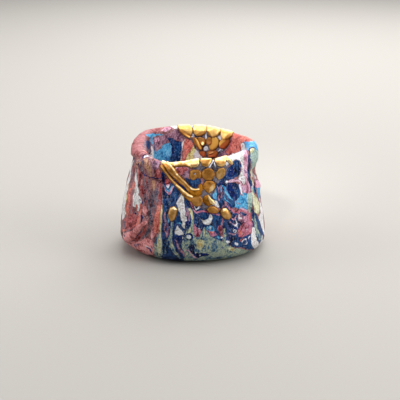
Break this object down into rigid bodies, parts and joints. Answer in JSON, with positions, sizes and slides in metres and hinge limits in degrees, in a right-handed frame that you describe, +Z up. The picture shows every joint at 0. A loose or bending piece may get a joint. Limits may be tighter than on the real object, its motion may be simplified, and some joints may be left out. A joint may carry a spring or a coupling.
{
  "type": "kintsugi sake cup",
  "caption": "Small hand-built cup of marbled coloured clay, wider at its base, with a rolled, eared lip mended at the front and the back in raised gold lacquer.",
  "frame": {"origin": "centre of the flat underside, on the surface the cup stands on", "axes": "+Z up from the underside to the mouth, -Y towards the front with the larger mend, +X to the right seen from the front"},
  "size_m": [0.0665, 0.0616, 0.0502],
  "materials": {
    "marbled_clay": "matt to satin, marbled in pink, red, navy, light blue, yellow-green and white",
    "gold_lacquer": "gold powder on lacquer, polished on its raised veins and satin on its discs"
  },
  "bodies": {
    "root": {"cup_body": "marbled_clay", "gold_repair_front": "gold_lacquer", "gold_repair_back": "gold_lacquer", "gold_drop_left": "gold_lacquer", "gold_drop_right": "gold_lacquer"}
  },
  "joints": []
}
